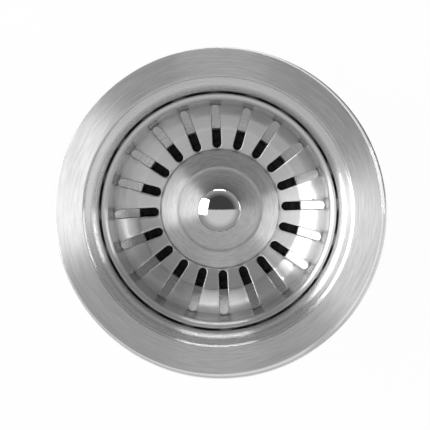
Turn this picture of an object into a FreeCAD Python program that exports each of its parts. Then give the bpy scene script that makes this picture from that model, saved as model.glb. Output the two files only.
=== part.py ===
import FreeCAD, Part
import math
import os

# Kitchen sink basket strainer: a flanged bowl clamped into a sink, and a lift-out slotted basket with
# a rubber stopper. Millimetres, +Z up, axis of the strainer on Z, end of the outlet at Z = 0.

V = FreeCAD.Vector
up = V(0, 0, 1)

# Every round is cut in flats, each turning by this many degrees at most
flat_turn = 30.0

# Flange and bowl, drawn from one sheet: every radius below follows from the bowl's
bowl_radius = 41.6
body_wall = 1.0
ledge_width = 5.2
ledge_fall = 0.7
shoulder_round = 3.2
step_run = 0.8
step_fall = 0.6
flange_width = 10.35
flange_rise = 2.4
lip_round = 1.5
floor_angle = 10.0
floor_round = 7.5
seat_clearance = 0.35
seat_wall_run = 0.4
seat_wall_drop = 0.1
bowl_rise_angle = 27.0
throat_inset = 5.5

# Outlet spigot and crossbar
outlet_length = 19.5
outlet_wall = 1.85
outlet_ledge = 0.8
outlet_chamfer = 0.8
socket_clearance = 0.05
weld_gap = 0.3
spider_wall = 1.5
spider_ring_width = 2.8
spider_clearance = 0.1
spoke_count = 4
spoke_width = 5.0
hub_radius = 8.0
hub_hole_radius = 4.6

# Basket
basket_gap = 0.9
basket_wall = 0.8
basket_depth = 23.4
rim_recess = 6.0
rim_round = 2.2
rim_inset = 2.3
wall_draft = 3.0
floor_rise_angle = 31.0
bend_round = 8.0
floor_rise_width = 9.4
slot_count = 20
slot_width = 3.0
slot_inner_reach = 7.05
slot_outer_reach = 7.8
first_slot_angle = 2.6
floor_ring_width = 7.5
floor_ring_rise = 0.4

# Dome in the middle of the basket
dome_height = 3.2
dome_break_inset = 6.3
dome_break_height = 2.0
dome_round = 14.0
dome_flat_radius = 7.5

# Knob, post and what is threaded on the post
knob_radius = 7.6
knob_height = 11.2
knob_foot_radius = 5.2
knob_waist_radius = 4.0
knob_waist_height = 2.2
knob_waist_round = 3.0
knob_edge_height = 6.2
knob_edge_round = 0.5
knob_crown_run = 4.0
knob_crown_fall = 2.2
knob_bore_depth = 7.0
knob_washer_radius = 6.2
knob_washer_wall = 0.6
post_radius = 3.0
post_thread_radius = 2.5
post_clearance = 0.1
thread_clearance = 0.05
sleeve_radius = 5.5
backing_inset = 3.4
backing_wall = 1.0
seal_washer_radius = 10.0
seal_washer_wall = 1.0
lock_washer_radius = 5.4
lock_washer_wall = 0.8
nut_flats = 10.0
nut_height = 4.0
nut_lift = 0.8

# Rubber stopper
seal_inset = 1.0
seat_inset = 1.5
seat_width = 4.0
seat_gap = 0.3
seal_drop = 1.6
seal_lip = 2.6
seal_hub = 3.0
seal_hub_inset = 5.0

# Spring clip at the foot of the post
post_tail = 10.0
clip_wall = 0.5
clip_width = 4.4
clip_foot_radius = 3.6
clip_bulge_radius = 6.2
clip_bulge_height = 4.0
clip_tip_radius = 3.8
clip_height = 7.4
clip_foot_round = 1.0
clip_bulge_round = 1.6
clip_hole_clearance = 0.2
screw_radius = 1.5
screw_length = 6.0
screw_head_radius = 2.8
screw_head_height = 1.8

# Clamp below the sink
sink_gap = 6.0
gasket_clearance = 0.3
gasket_wall = 3.0
gasket_width = 11.1
friction_wall = 1.2
friction_width = 10.1
locknut_clearance = 0.2
locknut_height = 9.0
locknut_wall = 5.4
lug_count = 4
lug_length = 7.8
lug_width = 12.0
lug_height = 6.0
lug_tip_width = 9.6
lug_round = 1.8
flange_gasket_margin = 0.3

# Heights, stacked upwards from the end of the outlet
ledge = outlet_length
spider_top = ledge + spider_wall
nut_foot = spider_top + nut_lift
lock_washer_foot = nut_foot + nut_height
seal_washer_foot = lock_washer_foot + lock_washer_wall
seal_foot = seal_washer_foot + seal_washer_wall
seal_top = seal_foot + seal_hub
backing_top = seal_top + backing_wall
basket_underside = seal_top + seal_drop
basket_floor = basket_underside + basket_wall
dome_top = basket_floor + dome_height
dome_underside = dome_top - basket_wall
knob_foot = dome_top + knob_washer_wall
rim_height = basket_floor + basket_depth
flange_top = rim_height + rim_recess
sink_height = flange_top - flange_rise
gasket_foot = sink_height - sink_gap - gasket_wall
friction_foot = gasket_foot - friction_wall
locknut_foot = friction_foot - locknut_height
post_foot = spider_top - post_tail

# Radii, from the bowl outwards and then inwards
barrel_radius = bowl_radius + body_wall
flange_inner_radius = bowl_radius + ledge_width
flange_radius = flange_inner_radius + flange_width
barrel_hole = barrel_radius + gasket_clearance
locknut_bore = barrel_radius + locknut_clearance
locknut_radius = locknut_bore + locknut_wall
rim_radius = bowl_radius - basket_gap
wall_top_radius = rim_radius - rim_inset
floor_ring_radius = wall_top_radius - floor_rise_width
dome_radius = floor_ring_radius - floor_ring_width
seal_radius = floor_ring_radius - seal_inset
seat_radius = seal_radius - seat_inset
throat_radius = seat_radius - throat_inset
collar_radius = throat_radius + body_wall
socket_radius = collar_radius + socket_clearance
post_hole_radius = post_radius + post_clearance
dome_hole_radius = post_thread_radius + post_clearance

# Slope of the seat, and where the seal meets it
floor_slope = math.tan(math.radians(floor_angle))
seat_height = seal_top - seal_lip - seat_gap


def bowl_floor(radius):
    return seat_height + (radius - seat_radius) * floor_slope


def rz(radius, height, rounding=0.0):
    return V(radius, 0, height), rounding


def rounded(corners, i):
    """Points along one corner of a closed outline, on the arc that rounds it."""
    point, rounding = corners[i]
    if rounding <= 0:
        return [point]
    back = (corners[i - 1][0] - point).normalize()
    ahead = (corners[(i + 1) % len(corners)][0] - point).normalize()
    half = back.getAngle(ahead) / 2
    centre = point + (back + ahead).normalize() * (rounding / math.sin(half))
    start = point + back * (rounding / math.tan(half)) - centre
    turn = math.pi - 2 * half
    flats = math.ceil(math.degrees(turn) / flat_turn)
    steps = [turn * k / flats for k in range(flats + 1)]
    return [centre + start * math.cos(step) - back * (rounding * math.sin(step)) for step in steps]


def outline(corners):
    """A flat face inside straight runs, with each corner rounded by its own radius."""
    points = [point for i in range(len(corners)) for point in rounded(corners, i)]
    return Part.Face(Part.makePolygon(points + points[:1]))


def left_of(start, end):
    run = (end - start).normalize()
    return V(-run.z, 0, run.x)


def sheet_outline(path, wall):
    """The section of a bent sheet: the path is one face, and the other lies one wall to its left."""
    sides = [left_of(path[i][0], path[i + 1][0]) for i in range(len(path) - 1)]
    other = []
    for i, (point, rounding) in enumerate(path):
        before = sides[max(i - 1, 0)]
        after = sides[min(i, len(sides) - 1)]
        shift = (before + after) * (wall / (1 + before.dot(after)))
        turns_left = before.x * after.z - before.z * after.x > 0
        if rounding > 0:
            rounding = max(rounding - wall if turns_left else rounding + wall, 0)
        other.append((point + shift, rounding))
    return outline(path + other[::-1])


def turned(face):
    return face.revolve(V(0, 0, 0), up, 360)


def ring(inner, outer, foot, wall):
    top = foot + wall
    return turned(outline([rz(inner, foot), rz(outer, foot), rz(outer, top), rz(inner, top)]))


def around(shape, count, first_angle=0.0):
    """Copies of a shape spaced evenly about the strainer's axis."""
    copies = []
    for i in range(count):
        copy = shape.copy()
        copy.rotate(V(0, 0, 0), up, first_angle + 360.0 * i / count)
        copies.append(copy)
    return copies


def tapered_bar(inner, outer, foot, height, inner_width, outer_width, inner_round, outer_round):
    """An upright block along +X, rounded in plan at its inner and outer corners."""
    a = inner_width / 2
    b = outer_width / 2
    plan = outline([
        (V(inner, -a, foot), inner_round),
        (V(outer, -b, foot), outer_round),
        (V(outer, b, foot), outer_round),
        (V(inner, a, foot), inner_round),
    ])
    return plan.extrude(up * height)


def strainer_body():
    """Below the basket the bowl runs in towards a shallow seat, whose wall stands round the stopper."""
    step_foot = flange_top - step_fall
    seat_edge = seal_radius + seat_clearance
    seat_wall_top = seat_edge + seat_wall_run
    rise = math.tan(math.radians(bowl_rise_angle))
    bowl_foot = seal_top - seat_wall_drop
    path = [
        rz(flange_radius, sink_height),
        rz(flange_radius, flange_top, lip_round),
        rz(flange_inner_radius, flange_top),
        rz(flange_inner_radius - step_run, step_foot),
        rz(bowl_radius, step_foot - ledge_fall, shoulder_round),
        rz(bowl_radius, bowl_foot + rise * (bowl_radius - seat_wall_top), floor_round),
        rz(seat_wall_top, bowl_foot),
        rz(seat_edge, bowl_floor(seat_edge)),
        rz(throat_radius, bowl_floor(throat_radius)),
        rz(throat_radius, ledge),
    ]
    return turned(sheet_outline(path, body_wall))


def outlet_spigot():
    """The collar of the bowl and the crossbar both stand on the ledge inside the tube."""
    bore = throat_radius - outlet_ledge
    outer = socket_radius + outlet_wall
    underside = bowl_floor(socket_radius) - body_wall / math.cos(math.radians(floor_angle))
    return turned(outline([
        rz(bore, 0),
        rz(outer - outlet_chamfer, 0),
        rz(outer, outlet_chamfer),
        rz(outer, underside - weld_gap),
        rz(socket_radius, underside - weld_gap),
        rz(socket_radius, ledge),
        rz(bore, ledge),
    ]))


def crossbar():
    outer = throat_radius - spider_clearance
    inner = outer - spider_ring_width
    reach = inner + spider_ring_width / 2
    spoke = tapered_bar(0, reach, ledge, spider_wall, spoke_width, spoke_width, 0, 0)
    hub = Part.makeCylinder(hub_radius, spider_wall, V(0, 0, ledge))
    spider = ring(inner, outer, ledge, spider_wall).fuse([hub] + around(spoke, spoke_count))
    return spider.cut(Part.makeCylinder(hub_hole_radius, spider_wall, V(0, 0, ledge))).removeSplitter()


def flange_gasket():
    inner = flange_inner_radius + body_wall + flange_gasket_margin
    outer = flange_radius - max(lip_round, body_wall) - flange_gasket_margin
    return ring(inner, outer, sink_height, flange_rise - body_wall)


def basket_wall_corner():
    """Where the drafted wall and the rising floor of the basket would meet."""
    draft = math.tan(math.radians(wall_draft))
    rise = math.tan(math.radians(floor_rise_angle))
    ring_edge = basket_floor + floor_ring_rise
    drop = rim_height - ring_edge - rise * (wall_top_radius - floor_ring_radius)
    depth = drop / (1 - rise * draft)
    return wall_top_radius - draft * depth, rim_height - depth


def basket_shell():
    corner_radius, corner_height = basket_wall_corner()
    path = [
        rz(rim_radius, rim_height),
        rz(wall_top_radius, rim_height, rim_round),
        rz(corner_radius, corner_height, bend_round),
        rz(floor_ring_radius, basket_floor + floor_ring_rise),
        rz(dome_radius, basket_floor),
        rz(dome_radius - dome_break_inset, basket_floor + dome_break_height, dome_round),
        rz(dome_flat_radius, dome_top),
        rz(dome_hole_radius, dome_top),
    ]
    end_round = slot_width / 2
    slot_foot = basket_underside - basket_wall
    slot = tapered_bar(
        floor_ring_radius - slot_inner_reach, floor_ring_radius + slot_outer_reach, slot_foot, basket_depth,
        slot_width, slot_width, end_round, end_round,
    )
    return turned(sheet_outline(path, basket_wall)).cut(around(slot, slot_count, first_slot_angle))


def knob():
    """A mushroom knob with a drawn-in waist and a crowned top, bored from below for the post."""
    crown = knob_foot + knob_height
    crown_slope = math.atan2(knob_crown_fall, knob_radius - knob_crown_run)
    crown_round = knob_crown_run / math.tan(crown_slope / 2)
    solid = turned(outline([
        rz(0, knob_foot),
        rz(knob_foot_radius, knob_foot),
        rz(knob_waist_radius, knob_foot + knob_waist_height, knob_waist_round),
        rz(knob_radius, knob_foot + knob_edge_height, knob_edge_round),
        rz(knob_radius, crown - knob_crown_fall, knob_edge_round),
        rz(knob_crown_run, crown, crown_round),
        rz(0, crown),
    ]))
    bore = Part.makeCylinder(post_thread_radius + thread_clearance, knob_bore_depth, V(0, 0, knob_foot))
    return solid.cut(bore)


def post():
    thread_foot = dome_underside
    thread_top = knob_foot + knob_bore_depth - post_clearance
    rod = turned(outline([
        rz(0, post_foot),
        rz(post_radius, post_foot),
        rz(post_radius, thread_foot),
        rz(post_thread_radius, thread_foot),
        rz(post_thread_radius, thread_top),
        rz(0, thread_top),
    ]))
    return rod.cut(Part.makeCylinder(screw_radius + thread_clearance, screw_length, V(0, 0, post_foot)))


def rubber_seal():
    """A rubber disc with a flat hub below and a rim that slopes with the bowl's floor, which it closes on."""
    seat_inner = seat_radius - seat_width
    return turned(outline([
        rz(post_hole_radius, seal_foot),
        rz(seat_inner - seal_hub_inset, seal_foot),
        rz(seat_inner, bowl_floor(seat_inner) + seat_gap),
        rz(seal_radius, bowl_floor(seal_radius) + seat_gap),
        rz(seal_radius, seal_top),
        rz(post_hole_radius, seal_top),
    ]))


def post_nut():
    corner = nut_flats / math.sqrt(3)
    turns = [math.radians(60 * i) for i in range(7)]
    hexagon = Part.makePolygon([V(corner * math.cos(a), corner * math.sin(a), nut_foot) for a in turns])
    hole = Part.makeCylinder(post_radius + thread_clearance, nut_height, V(0, 0, nut_foot))
    return Part.Face(hexagon).extrude(up * nut_height).cut(hole)


def spring_clip():
    """A bent leaf spring: two bowed arms rise on either side of the post from a foot screwed to its end."""
    bulge = post_foot + clip_bulge_height
    tip = post_foot + clip_height
    path = [
        rz(clip_tip_radius, tip),
        rz(clip_bulge_radius, bulge, clip_bulge_round),
        rz(clip_foot_radius, post_foot, clip_foot_round),
        rz(-clip_foot_radius, post_foot, clip_foot_round),
        rz(-clip_bulge_radius, bulge, clip_bulge_round),
        rz(-clip_tip_radius, tip),
    ]
    strip = sheet_outline(path[::-1], -clip_wall).extrude(V(0, clip_width, 0))
    strip.translate(V(0, -clip_width / 2, 0))
    hole = Part.makeCylinder(screw_radius + clip_hole_clearance, clip_wall, V(0, 0, post_foot - clip_wall))
    return strip.cut(hole)


def clip_screw():
    head_top = post_foot - clip_wall
    head_foot = head_top - screw_head_height
    return turned(outline([
        rz(0, head_foot),
        rz(screw_head_radius, head_foot),
        rz(screw_head_radius, head_top),
        rz(screw_radius, head_top),
        rz(screw_radius, post_foot + screw_length - post_clearance),
        rz(0, post_foot + screw_length - post_clearance),
    ]))


def locknut():
    """A cast ring nut with tapered lugs to drive it round."""
    body = ring(locknut_bore, locknut_radius, locknut_foot, locknut_height)
    root = (locknut_bore + locknut_radius) / 2
    reach = locknut_radius + lug_length
    lug = tapered_bar(root, reach, locknut_foot, lug_height, lug_width, lug_tip_width, 0, lug_round)
    return body.fuse(around(lug, lug_count)).removeSplitter()


pieces = {
    "strainer_body": strainer_body(),
    "outlet_spigot": outlet_spigot(),
    "crossbar": crossbar(),
    "flange_gasket": flange_gasket(),
    "basket_shell": basket_shell(),
    "knob": knob(),
    "knob_washer": ring(dome_hole_radius, knob_washer_radius, dome_top, knob_washer_wall),
    "post": post(),
    "spacer_sleeve": ring(post_hole_radius, sleeve_radius, backing_top, dome_underside - backing_top),
    "seal_backing_plate": ring(post_hole_radius, dome_radius - backing_inset, seal_top, backing_wall),
    "rubber_seal": rubber_seal(),
    "seal_washer": ring(post_hole_radius, seal_washer_radius, seal_washer_foot, seal_washer_wall),
    "lock_washer": ring(post_hole_radius, lock_washer_radius, lock_washer_foot, lock_washer_wall),
    "post_nut": post_nut(),
    "spring_clip": spring_clip(),
    "clip_screw": clip_screw(),
    "sink_gasket": ring(barrel_hole, barrel_hole + gasket_width, gasket_foot, gasket_wall),
    "friction_ring": ring(barrel_hole, barrel_hole + friction_width, friction_foot, friction_wall),
    "locknut": locknut(),
}

os.makedirs("parts", exist_ok=True)
for name, shape in pieces.items():
    if len(shape.Solids) != 1 or not shape.isValid():
        raise ValueError(f"{name}: {len(shape.Solids)} solids, valid {shape.isValid()}")
    shape.Solids[0].exportStep(f"parts/{name}.step")
    print(f"{name}: {shape.Volume / 1000:.2f} cm3, z {shape.BoundBox.ZMin:.2f} to {shape.BoundBox.ZMax:.2f}")
print(f"sink face {sink_height:.2f}, flange top {flange_top:.2f}, seat {seat_height:.2f}")
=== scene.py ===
import bpy
import bmesh
import math
from mathutils import Matrix, Vector


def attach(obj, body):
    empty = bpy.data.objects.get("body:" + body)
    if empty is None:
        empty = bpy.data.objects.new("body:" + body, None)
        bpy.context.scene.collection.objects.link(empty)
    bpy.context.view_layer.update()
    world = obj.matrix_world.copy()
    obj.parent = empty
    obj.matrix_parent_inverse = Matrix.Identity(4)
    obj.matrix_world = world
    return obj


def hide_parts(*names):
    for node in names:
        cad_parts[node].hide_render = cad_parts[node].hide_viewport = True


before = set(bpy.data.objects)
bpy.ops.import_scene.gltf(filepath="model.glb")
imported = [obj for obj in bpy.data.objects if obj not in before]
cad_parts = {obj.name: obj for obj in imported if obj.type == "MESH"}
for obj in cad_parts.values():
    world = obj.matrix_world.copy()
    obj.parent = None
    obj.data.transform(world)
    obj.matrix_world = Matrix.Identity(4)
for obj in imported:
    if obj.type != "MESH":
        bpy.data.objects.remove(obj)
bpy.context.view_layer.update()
mm = 0.001
print("frame loaded:", len(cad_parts), "nodes")


# node helpers

def addNode(tree, kind, **inputs):
    node = tree.nodes.new(kind)
    for name, value in inputs.items():
        node.inputs[name.replace("_", " ")].default_value = value
    return node


def addMath(tree, operation, a, b=None):
    node = tree.nodes.new("ShaderNodeMath")
    node.operation = operation
    for i, value in enumerate((a, b)):
        if value is None:
            continue
        if isinstance(value, (int, float)):
            node.inputs[i].default_value = value
        else:
            tree.links.new(value, node.inputs[i])
    return node.outputs[0]


def addRange(tree, value, fromMin, fromMax, toMin, toMax):
    node = tree.nodes.new("ShaderNodeMapRange")
    for name, number in (("From Min", fromMin), ("From Max", fromMax), ("To Min", toMin), ("To Max", toMax)):
        node.inputs[name].default_value = number
    tree.links.new(value, node.inputs["Value"])
    return node.outputs["Result"]


def addMix(tree, factor, a, b):
    node = tree.nodes.new("ShaderNodeMix")
    node.data_type = "RGBA"
    tree.links.new(factor, node.inputs["Factor"])
    colours = [s for s in node.inputs if s.type == "RGBA"]
    for socket, value in zip(colours, (a, b)):
        if isinstance(value, (tuple, list)):
            socket.default_value = (*value, 1.0)
        else:
            tree.links.new(value, socket)
    return [s for s in node.outputs if s.type == "RGBA"][0]


def newGroup(name, inputs, outputs):
    group = bpy.data.node_groups.new(name, "ShaderNodeTree")
    for label in inputs:
        group.interface.new_socket(name=label, in_out="INPUT", socket_type="NodeSocketFloat")
    for label in outputs:
        group.interface.new_socket(name=label, in_out="OUTPUT", socket_type="NodeSocketFloat")
    return group, group.nodes.new("NodeGroupInput"), group.nodes.new("NodeGroupOutput")


# lathe lines: noise that runs round the strainer's axis, so it reads as turning and polishing marks
lathe = {
    "mmPerMetre": 1000.0, "leastRadius": 0.0005, "streakRange": (0.35, 0.65), "unevenRange": (0.3, 0.7),
    "noise": {"Lines": {"Scale": 1.0, "Detail": 3.0, "Roughness": 0.6},
              "Broad": {"Scale": 0.12, "Detail": 2.0, "Roughness": 0.5}},
}


def makeLatheLines():
    group, given, result = newGroup("latheLines", ["Per mm", "Length"], ["Lines", "Broad", "Radius"])
    coord = group.nodes.new("ShaderNodeTexCoord")
    split = group.nodes.new("ShaderNodeSeparateXYZ")
    group.links.new(coord.outputs["Object"], split.inputs[0])
    x, y, z = split.outputs
    squares = addMath(group, "ADD", addMath(group, "MULTIPLY", x, x), addMath(group, "MULTIPLY", y, y))
    radius = addMath(group, "SQRT", squares)
    safeRadius = addMath(group, "MAXIMUM", radius, lathe["leastRadius"])
    inMm = addMath(group, "MULTIPLY", radius, lathe["mmPerMetre"])
    group.links.new(inMm, result.inputs["Radius"])
    across = addMath(group, "MULTIPLY", inMm, given.outputs["Per mm"])
    along = given.outputs["Length"]
    upward = addMath(group, "MULTIPLY", addMath(group, "MULTIPLY", z, lathe["mmPerMetre"]), given.outputs["Per mm"])
    place = group.nodes.new("ShaderNodeCombineXYZ")
    group.links.new(addMath(group, "ADD", across, upward), place.inputs[0])
    group.links.new(addMath(group, "MULTIPLY", addMath(group, "DIVIDE", x, safeRadius), along), place.inputs[1])
    group.links.new(addMath(group, "MULTIPLY", addMath(group, "DIVIDE", y, safeRadius), along), place.inputs[2])
    for label, settings in lathe["noise"].items():
        noise = addNode(group, "ShaderNodeTexNoise", **settings)
        group.links.new(place.outputs[0], noise.inputs["Vector"])
        group.links.new(noise.outputs["Fac"], result.inputs[label])
    return group


# speckle: fine grain and soft blotches for cast metal, rubber and fibre
grains = {"grainRange": (0.3, 0.7),
          "noise": {"Grain": {"Detail": 4.0, "Roughness": 0.6}, "Blotch": {"Detail": 3.0, "Roughness": 0.6}}}


def makeSpeckle():
    group, given, result = newGroup("speckle", ["Grain", "Blotch"], ["Grain", "Blotch"])
    coord = group.nodes.new("ShaderNodeTexCoord")
    for name, settings in grains["noise"].items():
        noise = addNode(group, "ShaderNodeTexNoise", **settings)
        group.links.new(coord.outputs["Object"], noise.inputs["Vector"])
        group.links.new(given.outputs[name], noise.inputs["Scale"])
        group.links.new(noise.outputs["Fac"], result.inputs[name])
    return group


latheLines = makeLatheLines()
speckle = makeSpeckle()


def newMaterial(name, **values):
    material = bpy.data.materials.new(name)
    material.use_nodes = True
    tree = material.node_tree
    shader = tree.nodes["Principled BSDF"]
    for label, value in values.items():
        shader.inputs[label.replace("_", " ")].default_value = value
    return material, tree, shader


def placeGroup(tree, group, **values):
    node = tree.nodes.new("ShaderNodeGroup")
    node.node_tree = group
    for label, value in values.items():
        node.inputs[label.replace("_", " ")].default_value = value
    return node.outputs


def addBump(tree, shader, height, distance):
    bump = addNode(tree, "ShaderNodeBump", Distance=distance, Strength=1.0)
    tree.links.new(height, bump.inputs["Height"])
    tree.links.new(bump.outputs["Normal"], shader.inputs["Normal"])


# turned steel: polishing lines run round the axis, so highlights spread in and out along the radius
# zones change the polish or the tone at a radius in mm: coarse in the middle of a pressing, finer on its wall; the
# darker tone inside the bowl is painted shade
zoneBlend = 0.2
faintShare = 0.3
acrossLines = 0.25


def byRadius(tree, marks, zone, within, beyond):
    return addRange(tree, marks["Radius"], zone["edge"] - zoneBlend, zone["edge"] + zoneBlend, within, beyond)


def turnedSteel(name, tone, roughness, spread, anisotropy, lines, bump, zones=()):
    material, tree, shader = newMaterial(name, Metallic=1.0, Anisotropic=anisotropy, Anisotropic_Rotation=acrossLines)
    marks = placeGroup(tree, latheLines, Per_mm=lines["perMm"], Length=lines["length"])
    streaks = addRange(tree, marks["Lines"], *lathe["streakRange"], 0.0, 1.0)
    mixed = addMath(tree, "MULTIPLY", addMath(tree, "ADD", marks["Lines"], marks["Broad"]), 0.5)
    uneven = addRange(tree, mixed, *lathe["unevenRange"], -spread, spread)
    level = roughness
    for zone in zones:
        level = addMath(tree, "ADD", byRadius(tree, marks, zone, zone["within"], zone["beyond"]), level)
        if "faint" in zone:
            sides = (faintShare, 1.0) if zone["faint"] == "within" else (1.0, faintShare)
            strength = byRadius(tree, marks, zone, *sides)
            centred = addMath(tree, "MULTIPLY", addMath(tree, "SUBTRACT", streaks, 0.5), strength)
            streaks = addMath(tree, "ADD", centred, 0.5)
            uneven = addMath(tree, "MULTIPLY", uneven, strength)
    colour = addMix(tree, streaks, tuple(c * lines["dark"] for c in tone), tone)
    for zone in zones:
        for side, shares in (("paintedShadeWithin", (1.0, 0.0)), ("toneBeyond", (0.0, 1.0))):
            if side in zone:
                colour = addMix(tree, byRadius(tree, marks, zone, *shares), colour, zone[side])
    tree.links.new(colour, shader.inputs["Base Color"])
    tree.links.new(addMath(tree, "ADD", uneven, level), shader.inputs["Roughness"])
    tangent = tree.nodes.new("ShaderNodeTangent")
    tangent.direction_type = "RADIAL"
    tangent.axis = "Z"
    tree.links.new(tangent.outputs[0], shader.inputs["Tangent"])
    if bump > 0:
        addBump(tree, shader, marks["Lines"], bump)
    return material


def grainyMaterial(name, colours, roughness, grain, blotch, bump, **values):
    material, tree, shader = newMaterial(name, **values)
    marks = placeGroup(tree, speckle, Grain=grain, Blotch=blotch)
    tree.links.new(addMix(tree, marks["Blotch"], *colours), shader.inputs["Base Color"])
    tree.links.new(addRange(tree, marks["Grain"], *grains["grainRange"], *roughness), shader.inputs["Roughness"])
    if bump > 0:
        addBump(tree, shader, marks["Grain"], bump)
    return material


turned = {
    "flangeSteel": {"tone": (0.75, 0.75, 0.755), "roughness": 0.34, "spread": 0.05, "anisotropy": 1.0,
                    "lines": {"perMm": 1.7, "length": 6.0, "dark": 0.82}, "bump": 0.0,
                    # painted shade: the bowl inside the basket's rim gap is toned darker, where shade falls under the
                    # basket
                    "zones": [{"edge": 41.9, "within": 0.0, "beyond": 0.0, "paintedShadeWithin": (0.55, 0.55, 0.555)},
                              {"edge": 46.9, "within": -0.07, "beyond": 0.0, "faint": "within"},
                              {"edge": 55.9, "within": 0.0, "beyond": -0.14, "toneBeyond": (0.87, 0.87, 0.87)}]},
    "basketSteel": {"tone": (0.74, 0.74, 0.745), "roughness": 0.30, "spread": 0.04, "anisotropy": 0.95,
                    "lines": {"perMm": 1.8, "length": 4.0, "dark": 0.80}, "bump": 0.0,
                    "zones": [{"edge": 21.2, "within": 0.07, "beyond": 0.0, "faint": "beyond"},
                              {"edge": 37.0, "within": 0.0, "beyond": -0.07},
                              {"edge": 38.4, "within": 0.0, "beyond": 0.07}]},
    "outletSteel": {"tone": (0.58, 0.58, 0.585), "roughness": 0.36, "spread": 0.06, "anisotropy": 0.6,
                    "lines": {"perMm": 5.0, "length": 2.0, "dark": 0.85}, "bump": 0.00002},
    "hardwareSteel": {"tone": (0.60, 0.60, 0.60), "roughness": 0.28, "spread": 0.05, "anisotropy": 0.5,
                      "lines": {"perMm": 8.0, "length": 2.0, "dark": 0.88}, "bump": 0.00001},
}
grainy = {
    "springSteel": {"colours": ((0.42, 0.41, 0.40), (0.52, 0.51, 0.50)), "roughness": (0.26, 0.36),
                    "grain": 1500.0, "blotch": 180.0, "bump": 0.00001, "Metallic": 1.0},
    "knobChrome": {"colours": ((0.62, 0.62, 0.63), (0.66, 0.66, 0.67)), "roughness": (0.03, 0.05),
                   "grain": 500.0, "blotch": 60.0, "bump": 0.0, "Metallic": 1.0},
    "nutBrass": {"colours": ((0.60, 0.43, 0.18), (0.70, 0.52, 0.24)), "roughness": (0.28, 0.40),
                 "grain": 1200.0, "blotch": 150.0, "bump": 0.00001, "Metallic": 1.0},
    "castMetal": {"colours": ((0.40, 0.40, 0.41), (0.50, 0.50, 0.51)), "roughness": (0.42, 0.60),
                  "grain": 1400.0, "blotch": 90.0, "bump": 0.00006, "Metallic": 1.0},
    "stopperRubber": {"colours": ((0.004, 0.004, 0.0045), (0.008, 0.008, 0.0085)), "roughness": (0.42, 0.58),
                      "grain": 1800.0, "blotch": 120.0, "bump": 0.00004, "Specular_IOR_Level": 0.2},
    "gasketRubber": {"colours": ((0.018, 0.018, 0.019), (0.032, 0.032, 0.033)), "roughness": (0.55, 0.72),
                     "grain": 1600.0, "blotch": 90.0, "bump": 0.00005},
    "flangeFoam": {"colours": ((0.70, 0.70, 0.68), (0.80, 0.80, 0.78)), "roughness": (0.75, 0.92),
                   "grain": 1300.0, "blotch": 200.0, "bump": 0.00015},
    "fibreBoard": {"colours": ((0.34, 0.22, 0.12), (0.46, 0.31, 0.18)), "roughness": (0.70, 0.88),
                   "grain": 2200.0, "blotch": 240.0, "bump": 0.00008},
}
finishes = {name: turnedSteel(name, **settings) for name, settings in turned.items()}
finishes.update({name: grainyMaterial(name, **settings) for name, settings in grainy.items()})
print("materials ready:", len(bpy.data.materials))


# mesh helpers
roundProfile = 0.5
weldGap = 1e-7
faceWeight = 100


def addProfile(bm, corners, closed):
    # corners are radius and height in mm, then how far along its sides a corner is rounded and in how many steps
    points = [bm.verts.new((c[0] * mm, 0.0, c[1] * mm)) for c in corners]
    for a, b in zip(points, points[1:]):
        bm.edges.new((a, b))
    if closed:
        bm.edges.new((points[-1], points[0]))
    for point, corner in zip(points, corners):
        if len(corner) > 2:
            bmesh.ops.bevel(bm, geom=[point], offset=corner[2] * mm, offset_type="OFFSET", segments=corner[3],
                            profile=roundProfile, affect="VERTICES", material=-1)


def spinAll(bm, angle, steps, **more):
    geometry = list(bm.verts) + list(bm.edges) + list(bm.faces)
    return bmesh.ops.spin(bm, geom=geometry, cent=(0, 0, 0), axis=(0, 0, 1), angle=angle, steps=steps, **more)


def closeUp(bm, distance=weldGap):
    bmesh.ops.remove_doubles(bm, verts=bm.verts, dist=distance)
    bmesh.ops.recalc_face_normals(bm, faces=bm.faces)


def finishPiece(name, bm, finish, body, node=None, sharpAngle=32.0):
    for face in bm.faces:
        face.smooth = True
    for edge in bm.edges:
        if len(edge.link_faces) == 2 and edge.calc_face_angle(0.0) > math.radians(sharpAngle):
            edge.smooth = False
    mesh = bpy.data.meshes.new(name)
    bm.to_mesh(mesh)
    bm.free()
    mesh.materials.append(finishes[finish])
    piece = bpy.data.objects.new(name, mesh)
    bpy.context.scene.collection.objects.link(piece)
    weights = piece.modifiers.new("evenNormals", "WEIGHTED_NORMAL")
    weights.keep_sharp = True
    weights.weight = faceWeight
    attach(piece, body)
    if node:
        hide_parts(node)
    return piece


def turnedMesh(form):
    bm = bmesh.new()
    # a profile that starts and ends on the axis is left open there
    addProfile(bm, form["corners"], form["corners"][0][0] > 0)
    spinAll(bm, 2 * math.pi, form["steps"], use_merge=True)
    closeUp(bm)
    return bm


def turnedPiece(name, form, finish, body, node):
    return finishPiece(name, turnedMesh(form), finish, body, node)


# a thread is one ridge wound up the barrel; half its foot is a share of the pitch, its crest a share of the foot
threadShape = {"footShare": 0.42, "crestShare": 0.22, "sharpAngle": 25.0}


def threadPiece(name, form, finish, body):
    bm = bmesh.new()
    half = form["pitch"] * threadShape["footShare"]
    flat = half * threadShape["crestShare"]
    inside = form["root"] - form["sunk"]
    corners = [(inside, form["foot"] - half), (form["crest"], form["foot"] - flat),
               (form["crest"], form["foot"] + flat), (inside, form["foot"] + half)]
    addProfile(bm, corners, True)
    bmesh.ops.contextual_create(bm, geom=list(bm.edges))
    start = list(bm.faces)
    steps = int(form["perTurn"] * form["turns"])
    lift = form["pitch"] * mm / form["perTurn"]
    ring = [e for f in start for e in f.edges]
    swept = bmesh.ops.spin(bm, geom=[v for f in start for v in f.verts] + ring, cent=(0, 0, 0), axis=(0, 0, 1),
                           dvec=(0, 0, lift), angle=2 * math.pi * form["turns"], steps=steps)
    bmesh.ops.contextual_create(bm, geom=[e for e in swept["geom_last"] if isinstance(e, bmesh.types.BMEdge)])
    closeUp(bm)
    return finishPiece(name, bm, finish, body, sharpAngle=threadShape["sharpAngle"])


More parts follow.
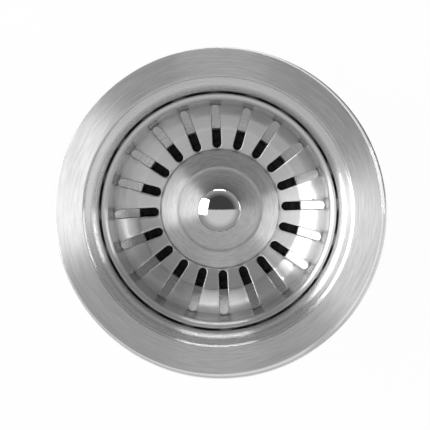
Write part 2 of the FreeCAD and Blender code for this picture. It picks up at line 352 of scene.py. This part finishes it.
# a CAD node's own shape with its edges eased; flats are merged and edges picked by angle, in degrees
easing = {"flat": 1.0, "sharp": 28.0}


def easedPiece(name, form, finish, body, node):
    bm = bmesh.new()
    bm.from_mesh(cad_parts[node].data)
    bmesh.ops.remove_doubles(bm, verts=bm.verts, dist=weldGap)
    bmesh.ops.dissolve_limit(bm, angle_limit=math.radians(easing["flat"]), verts=bm.verts, edges=bm.edges)
    sharp = math.radians(easing["sharp"])
    edges = [e for e in bm.edges if len(e.link_faces) == 2 and e.calc_face_angle(0.0) > sharp]
    bmesh.ops.bevel(bm, geom=edges, offset=form["round"] * mm, offset_type="OFFSET", segments=form["segments"],
                    profile=roundProfile, affect="EDGES", clamp_overlap=True, material=-1)
    return finishPiece(name, bm, finish, body, node)


# flange and bowl
bowl = {
    "steps": 288,
    "corners": [
        (57.15, 60.0, 0.15, 2), (57.15, 62.4, 1.2, 12), (46.7, 62.4, 0.3, 4), (46.0, 61.8, 0.3, 4),
        (41.6, 61.1, 2.8, 14), (41.6, 37.05, 4.6, 18), (28.75, 30.5, 0.35, 4), (28.35, 28.03, 0.3, 4),
        (21.0, 26.73, 1.2, 8), (21.0, 19.5, 0.1, 2), (22.0, 19.5, 0.1, 2), (22.0, 25.9, 1.0, 6),
        (29.3, 27.2, 0.5, 4), (29.65, 29.8, 0.5, 4), (42.05, 36.0, 5.0, 18), (42.05, 59.5, 0.8, 6),
        (43.0, 60.2, 0.5, 4), (46.2, 60.8, 0.3, 4), (47.0, 61.4, 0.3, 4), (56.15, 61.4, 0.4, 4),
        (56.15, 60.0, 0.15, 2),
    ],
    "lip": {"flatStart": 47.6, "flatEdge": 55.95, "trimEdge": 57.15,
            "flatShift": (-0.15, 0.08), "trimShift": (0.66, -0.62), "top": 62.4, "wallTop": 61.15,
            "roundDrop": 1.45, "bentDrop": 2.2, "bentWidth": 0.62, "bentShare": 0.93, "bentSide": 15.0,
            "bentFull": 45.0, "bentEnd": 75.0},
}


def skewLip(bm, lip):
    # the real lip is trimmed a little off centre, so it is wide on one side and narrow on the other, and where it
    # is bent down hardest it falls steeply to a thin foot instead of in a round
    flatShift, trimShift = Vector((*lip["flatShift"], 0.0)) * mm, Vector((*lip["trimShift"], 0.0)) * mm
    full, end = math.cos(math.radians(lip["bentFull"])), math.cos(math.radians(lip["bentEnd"]))
    for vert in bm.verts:
        radius, height = math.hypot(vert.co.x, vert.co.y) / mm, vert.co.z / mm
        if radius < lip["flatEdge"]:
            vert.co += flatShift * max((radius - lip["flatStart"]) / (lip["flatEdge"] - lip["flatStart"]), 0.0)
            continue
        out = min((radius - lip["flatEdge"]) / (lip["trimEdge"] - lip["flatEdge"]), 1.0)
        if height > lip["wallTop"] and not (out < 1.0 and vert.normal.z < 0):
            facing = math.cos(math.atan2(vert.co.y, vert.co.x) - math.radians(lip["bentSide"]))
            bent = min(max((facing - end) / (full - end), 0.0), 1.0)
            roundFall = lip["roundDrop"] * (1.0 - math.sqrt(1.0 - out ** 2))
            steep = lip["bentShare"] * min(out / lip["bentWidth"], 1.0)
            foot = (1.0 - lip["bentShare"]) * max((out - lip["bentWidth"]) / (1.0 - lip["bentWidth"]), 0.0)
            vert.co.z = (lip["top"] - roundFall - (lip["bentDrop"] * (steep + foot) - roundFall) * bent) * mm
        vert.co += flatShift.lerp(trimShift, out)


bm = turnedMesh(bowl)
bm.normal_update()
skewLip(bm, bowl["lip"])
finishPiece("flangeBowl", bm, "flangeSteel", "drain_body", "strainer_body")

barrelThread = {"root": 42.05, "crest": 42.6, "sunk": 0.1, "foot": 40.6, "pitch": 2.0, "turns": 8.5, "perTurn": 96}
threadPiece("barrelThread", barrelThread, "outletSteel", "drain_body")

# outlet tube with its pipe thread and the collar that joins it to the bowl
outletTube = {
    "steps": 192,
    "corners": [(20.2, 0.0, 0.2, 2), (23.1, 0.0, 0.2, 2), (23.3, 0.6, 0.2, 2), (23.3, 22.6, 0.1, 2),
                (23.9, 23.0, 0.2, 2), (23.9, 25.6, 0.2, 2), (22.05, 25.6, 0.1, 2), (22.05, 19.5, 0.1, 2),
                (20.2, 19.5, 0.1, 2)],
    "thread": {"root": 23.3, "crest": 23.9, "sunk": 0.1, "foot": 2.0, "pitch": 2.3, "turns": 8.0, "perTurn": 80},
}
turnedPiece("outletTube", outletTube, "outletSteel", "drain_body", "outlet_spigot")
threadPiece("outletThread", outletTube["thread"], "outletSteel", "drain_body")

crossbarPlate = {"round": 0.2, "segments": 2}
easedPiece("crossbarPlate", crossbarPlate, "outletSteel", "drain_body", "crossbar")

flangeSeal = {
    "steps": 192,
    "corners": [(48.1, 60.0, 0.3, 4), (54.8, 60.0, 0.3, 4), (54.8, 61.4, 0.3, 4), (48.1, 61.4, 0.3, 4)],
}
turnedPiece("flangeSeal", flangeSeal, "flangeFoam", "drain_body", "flange_gasket")
print("bowl ready")

# basket: one slotted sector of the pressing, copied round, then given its wall and rounded edges
basket = {
    "corners": [
        (40.42, 56.4), (38.4, 56.4, 1.9, 10), (37.461, 38.484, 4.6, 16), (33.2, 35.7, 2.6, 8),
        (29.0, 33.6, 0.5, 4), (21.5, 32.75, 0.12, 3), (20.95, 33.85, 0.3, 4), (15.3, 35.5, 0.2, 3),
        (14.3, 35.36, 0.2, 3), (7.5, 36.2, 1.0, 4), (2.9, 36.2),
    ],
    "slots": 20, "firstSlot": 2.6, "columns": 16, "slotColumns": 10, "longest": 1.1, "wall": 0.8,
    "slotInner": 21.95, "slotOuter": 36.8, "slotHalf": 1.5, "edgeRound": 0.38, "edgeSteps": 4,
    "innerMargin": 0.05, "outerMargin": 0.3, "weld": 2e-6, "sharpAngle": 60.0,
}


def sheetHeight(points, radius):
    for (innerRadius, innerHeight), (outerRadius, outerHeight) in zip(points, points[1:]):
        if innerRadius <= radius <= outerRadius:
            return innerHeight + (outerHeight - innerHeight) * (radius - innerRadius) / (outerRadius - innerRadius)
    return points[-1][1] if radius > points[-1][0] else points[0][1]


def makeSector(form):
    bm = bmesh.new()
    addProfile(bm, form["corners"], False)
    for edge in list(bm.edges):
        cuts = int(edge.calc_length() / (form["longest"] * mm))
        if cuts > 0:
            bmesh.ops.subdivide_edges(bm, edges=[edge], cuts=cuts)
    section = sorted((v.co.x / mm, v.co.z / mm) for v in bm.verts)
    sector = 2 * math.pi / form["slots"]
    bmesh.ops.rotate(bm, verts=bm.verts, cent=(0, 0, 0), matrix=Matrix.Rotation(-sector / 2, 3, "Z"))
    spinAll(bm, sector, form["columns"])
    closeUp(bm)
    # the grid is drawn in so that its lines follow the slot: straight sides, and a half round at each end
    half, inner = form["columns"] // 2, form["slotColumns"] // 2
    reach = form["slotHalf"] + form["edgeRound"]
    ends = (form["slotInner"] + form["slotHalf"], form["slotOuter"] - form["slotHalf"])
    radii = [point[0] for point in section]
    spun = list(radii)
    endRows = [min(range(len(radii)), key=lambda i: abs(radii[i] - math.hypot(end, reach))) for end in ends]
    for row, end in zip(endRows, ends):
        radii[row] = math.hypot(end, reach)
    still = (max(i for i, r in enumerate(radii) if r < ends[0] - reach - form["innerMargin"]),
             min(i for i, r in enumerate(radii) if r > ends[1] + reach + form["outerMargin"]))
    cutAway = []
    for vert in bm.verts:
        reached = math.hypot(vert.co.x, vert.co.y) / mm
        row = min(range(len(spun)), key=lambda i: abs(spun[i] - reached))
        column = round(math.atan2(vert.co.y, vert.co.x) / sector * form["columns"])
        radius = radii[row]
        measured = min(max(radius, radii[still[0]]), radii[still[1]])
        if abs(column) <= inner:
            turn = math.asin(reach * math.sin(math.pi / 2 * column / inner) / measured)
        else:
            side = math.asin(reach / measured)
            turn = math.copysign(side + (sector / 2 - side) * (abs(column) - inner) / (half - inner), column)
        x, y = radius * math.cos(turn), radius * math.sin(turn)
        if abs(column) < inner and still[0] < row < still[1] and not endRows[0] < row < endRows[1]:
            far = row >= endRows[1]
            bulge = math.sqrt(reach ** 2 - y ** 2)
            edge = ends[1] + bulge if far else ends[0] - bulge
            start = math.sqrt(radii[still[far]] ** 2 - y ** 2)
            stop = math.sqrt(radii[endRows[far]] ** 2 - y ** 2)
            x = start + (edge - start) * (x - start) / (stop - start)
        if abs(column) <= inner and endRows[0] <= row <= endRows[1]:
            cutAway.append(vert)
        vert.co = (x * mm, y * mm, sheetHeight(section, math.hypot(x, y)) * mm)
    inside = set(cutAway)
    bmesh.ops.delete(bm, geom=[f for f in bm.faces if all(v in inside for v in f.verts)], context="FACES")
    return bm, sector


def thickenSheet(bm, wall, edgeRound, steps):
    # the upper face is copied one wall below, and every open edge is rolled round to meet it
    bm.normal_update()
    upper = list(bm.verts)
    copied = bmesh.ops.duplicate(bm, geom=list(bm.verts) + list(bm.edges) + list(bm.faces))
    for vert in upper:
        copied["vert_map"][vert].co = vert.co - vert.normal * wall
    bmesh.ops.reverse_faces(bm, faces=[f for f in copied["geom"] if isinstance(f, bmesh.types.BMFace)])
    edges = [e for v in upper for e in v.link_edges if e.is_boundary]
    edges = list(dict.fromkeys(edges))
    outward = {}
    for edge in edges:
        face = edge.link_faces[0]
        middle = (edge.verts[0].co + edge.verts[1].co) / 2
        aside = (edge.verts[1].co - edge.verts[0].co).cross(face.normal).normalized()
        if aside.dot(middle - face.calc_center_median()) < 0:
            aside.negate()
        for vert in edge.verts:
            outward[vert] = outward.get(vert, Vector()) + aside
    starts = {}
    for vert, aside in outward.items():
        normal = vert.normal.copy()
        starts[vert] = (vert.co.copy(), normal, (aside - normal * aside.dot(normal)).normalized())
    turns = [math.pi / 2 * k / steps for k in range(1, steps + 1)]
    places = [(math.sin(t), edgeRound * (1 - math.cos(t))) for t in turns]
    places += [(math.sin(t), wall - edgeRound * (1 - math.cos(t))) for t in reversed(turns)] + [(0.0, wall)]
    for aside, depth in places:
        grown = bmesh.ops.extrude_edge_only(bm, edges=edges)["geom"]
        moved = {}
        for vert in (g for g in grown if isinstance(g, bmesh.types.BMVert)):
            before = next(e.other_vert(vert) for e in vert.link_edges if e.other_vert(vert) in starts)
            place, normal, direction = starts[before]
            vert.co = place + direction * (aside * edgeRound) - normal * depth
            moved[vert] = starts[before]
        starts = moved
        edges = [g for g in grown if isinstance(g, bmesh.types.BMEdge)]


def makeBasket(form):
    bm, sector = makeSector(form)
    spinAll(bm, sector * (form["slots"] - 1), form["slots"] - 1, use_duplicate=True)
    closeUp(bm, form["weld"])
    swing = Matrix.Rotation(math.radians(form["firstSlot"]), 3, "Z")
    bmesh.ops.rotate(bm, verts=bm.verts, cent=(0, 0, 0), matrix=swing)
    if sum(f.normal.z for f in bm.faces) < 0:
        bmesh.ops.reverse_faces(bm, faces=bm.faces)
    thickenSheet(bm, form["wall"] * mm, form["edgeRound"] * mm, form["edgeSteps"])
    closeUp(bm, form["weld"])
    return bm


basketPiece = finishPiece("basketShell", makeBasket(basket), "basketSteel", "basket", "basket_shell",
                          sharpAngle=basket["sharpAngle"])
print("basket ready:", len(basketPiece.data.polygons), "faces")

# knob, turned and plated
knob = {
    "steps": 160,
    "corners": [(0.0, 36.8), (5.2, 36.8, 0.35, 4), (4.0, 39.0, 1.6, 10), (7.6, 43.0, 0.6, 8), (7.6, 45.8, 0.3, 8),
                (4.0, 48.0, 3.85, 28), (0.0, 48.0)],
}
turnedPiece("pullKnob", knob, "knobChrome", "basket", "knob")

knobSeat = {
    "steps": 96,
    "corners": [(2.6, 36.2, 0.1, 2), (6.2, 36.2, 0.1, 2), (6.2, 36.8, 0.15, 3), (2.6, 36.8, 0.1, 2)],
}
turnedPiece("knobSeat", knobSeat, "hardwareSteel", "basket", "knob_washer")

postRod = {
    "steps": 64,
    "corners": [(0.0, 11.0), (3.0, 11.0, 0.4, 3), (3.0, 35.4, 0.1, 2), (2.5, 35.4), (2.5, 43.7, 0.3, 2),
                (0.0, 43.7)],
}
turnedPiece("postRod", postRod, "hardwareSteel", "basket", "post")

spacer = {
    "steps": 96,
    "corners": [(3.1, 31.6, 0.15, 2), (5.5, 31.6, 0.2, 3), (5.5, 35.4, 0.2, 3), (3.1, 35.4, 0.15, 2)],
}
turnedPiece("spacerTube", spacer, "hardwareSteel", "basket", "spacer_sleeve")

backing = {
    "steps": 128,
    "corners": [(3.1, 30.6, 0.1, 2), (18.1, 30.6, 0.25, 3), (18.1, 31.6, 0.25, 3), (3.1, 31.6, 0.1, 2)],
}
turnedPiece("backingDisc", backing, "hardwareSteel", "basket", "seal_backing_plate")

stopper = {
    "steps": 160,
    "corners": [(3.1, 27.6, 0.1, 2), (17.5, 27.6, 0.5, 4), (22.5, 27.29, 0.6, 4), (28.0, 28.26, 0.5, 5),
                (28.0, 30.6, 0.6, 6), (25.9, 30.6, 0.3, 3), (25.5, 30.2, 0.3, 3), (24.7, 30.2, 0.3, 3),
                (24.3, 30.6, 0.3, 3), (3.1, 30.6, 0.1, 2)],
}
turnedPiece("stopper", stopper, "stopperRubber", "basket", "rubber_seal")

sealRing = {
    "steps": 96,
    "corners": [(3.1, 26.6, 0.1, 2), (10.0, 26.6, 0.3, 3), (10.0, 27.6, 0.2, 3), (3.1, 27.6, 0.1, 2)],
}
turnedPiece("sealRing", sealRing, "hardwareSteel", "basket", "seal_washer")

lockRing = {
    "steps": 64,
    "corners": [(3.1, 25.8, 0.1, 2), (5.4, 25.8, 0.15, 2), (5.4, 26.6, 0.15, 2), (3.1, 26.6, 0.1, 2)],
}
turnedPiece("lockRing", lockRing, "hardwareSteel", "basket", "lock_washer")

stackNut = {"round": 0.3, "segments": 3}
easedPiece("stackNut", stackNut, "nutBrass", "basket", "post_nut")

clipSpring = {"round": 0.08, "segments": 2}
easedPiece("clipSpring", clipSpring, "springSteel", "basket", "spring_clip")

clipScrew = {
    "steps": 64,
    "corners": [(0.0, 8.7), (2.8, 8.7, 0.9, 6), (2.8, 10.5, 0.1, 2), (1.5, 10.5), (1.5, 16.9, 0.2, 2), (0.0, 16.9)],
}
turnedPiece("clipScrew", clipScrew, "hardwareSteel", "basket", "clip_screw")
print("basket fittings ready")

# clamp below the sink
sinkSeal = {
    "steps": 192,
    "corners": [(42.9, 51.0, 0.4, 4), (54.0, 51.0, 0.6, 5), (54.0, 54.0, 0.6, 5), (42.9, 54.0, 0.4, 4)],
}
turnedPiece("sinkSeal", sinkSeal, "gasketRubber", "clamp_rings", "sink_gasket")

slipRing = {
    "steps": 192,
    "corners": [(42.9, 49.8, 0.1, 2), (53.0, 49.8, 0.2, 2), (53.0, 51.0, 0.2, 2), (42.9, 51.0, 0.1, 2)],
}
turnedPiece("slipRing", slipRing, "fibreBoard", "clamp_rings", "friction_ring")

ringNut = {"round": 0.5, "segments": 3}
easedPiece("ringNut", ringNut, "castMetal", "locknut", "locknut")
print("clamp ready")

# floor, light and camera
studio = {
    "frontHigh": 0.84, "backHigh": 0.07, "frontLow": 0.43, "backLow": 0.44, "split": 0.03, "low": 0.60, "high": 0.80,
    "floorSize": 12.0, "floorTone": 0.82, "floorGlow": 0.97, "floorRoughness": 0.9, "aim": (0.0, 0.0, 0.050),
    "lamps": {
        "leftBox": {"azimuth": 169.5, "elevation": 39.0, "distance": 0.9, "size": (0.68, 0.55), "power": 6.0},
        "rightBox": {"azimuth": 10.0, "elevation": 24.0, "distance": 0.9, "size": (0.35, 0.14), "power": 0.85},
        "backStrip": {"azimuth": 90.0, "elevation": 28.0, "distance": 0.9, "size": (0.50, 0.14), "power": 1.05},
    },
}
world = bpy.data.worlds.new("studio")
bpy.context.scene.world = world
world.use_nodes = True
sky = world.node_tree
direction = sky.nodes.new("ShaderNodeTexCoord")
parts = sky.nodes.new("ShaderNodeSeparateXYZ")
sky.links.new(direction.outputs["Generated"], parts.inputs[0])
upper = addRange(sky, parts.outputs[1], -studio["split"], studio["split"], studio["frontHigh"], studio["backHigh"])
lower = addRange(sky, parts.outputs[1], -studio["split"], studio["split"], studio["frontLow"], studio["backLow"])
rise = addRange(sky, parts.outputs[2], studio["low"], studio["high"], 0.0, 1.0)
difference = addMath(sky, "MULTIPLY", rise, addMath(sky, "SUBTRACT", upper, lower))
sky.links.new(addMath(sky, "ADD", lower, difference), sky.nodes["Background"].inputs["Strength"])
sky.nodes["Background"].inputs["Color"].default_value = (1, 1, 1, 1)

floorMesh = bpy.data.meshes.new("floor")
bm = bmesh.new()
bmesh.ops.create_grid(bm, x_segments=2, y_segments=2, size=studio["floorSize"] / 2)
bm.to_mesh(floorMesh)
bm.free()
floor = bpy.data.objects.new("floor", floorMesh)
bpy.context.scene.collection.objects.link(floor)
floorMaterial, tree, shader = newMaterial("paleFloor", Roughness=studio["floorRoughness"])
shader.inputs["Base Color"].default_value = (studio["floorTone"],) * 3 + (1,)
path = tree.nodes.new("ShaderNodeLightPath")
seen = addMath(tree, "MAXIMUM", path.outputs["Is Camera Ray"],
               addMath(tree, "MAXIMUM", path.outputs["Is Glossy Ray"], path.outputs["Is Transmission Ray"]))
glow = tree.nodes.new("ShaderNodeEmission")
mixer = tree.nodes.new("ShaderNodeMixShader")
tree.links.new(addMath(tree, "MULTIPLY", seen, studio["floorGlow"]), mixer.inputs[0])
tree.links.new(shader.outputs[0], mixer.inputs[1])
tree.links.new(glow.outputs[0], mixer.inputs[2])
tree.links.new(mixer.outputs[0], tree.nodes["Material Output"].inputs["Surface"])
floorMesh.materials.append(floorMaterial)

aim = Vector(studio["aim"])
for name, lamp in studio["lamps"].items():
    light = bpy.data.lights.new(name, "AREA")
    light.shape = "RECTANGLE"
    light.size, light.size_y = lamp["size"]
    light.energy = lamp["power"]
    turn, rise = math.radians(lamp["azimuth"]), math.radians(lamp["elevation"])
    away = Vector((math.cos(turn) * math.cos(rise), math.sin(turn) * math.cos(rise), math.sin(rise)))
    lampObject = bpy.data.objects.new(name, light)
    lampObject.location = aim + away * lamp["distance"]
    lampObject.rotation_euler = away.to_track_quat("Z", "Y").to_euler()
    lampObject.visible_camera = False
    bpy.context.scene.collection.objects.link(lampObject)

view = {"target": (-1.17, -1.17, 61.0), "offset": (15.0, 24.0), "height": 700.0, "width": 147.9, "sensor": 36.0}
cameraData = bpy.data.cameras.new("camera")
cameraData.sensor_width = view["sensor"]
camera = bpy.data.objects.new("camera", cameraData)
target = Vector(view["target"]) * mm
camera.location = target + Vector((view["offset"][0], view["offset"][1], view["height"])) * mm
toward = target - camera.location
right = toward.cross(Vector((0, 1, 0))).normalized()  # the photo's top is +Y
camera.rotation_euler = Matrix((right, right.cross(toward).normalized(), -toward.normalized())).transposed().to_euler()
cameraData.lens = view["sensor"] * toward.length / (view["width"] * mm)
bpy.context.scene.collection.objects.link(camera)
bpy.context.scene.camera = camera
bpy.context.scene.view_settings.view_transform = "Standard"
print("studio ready")

bpy.context.view_layer.update()
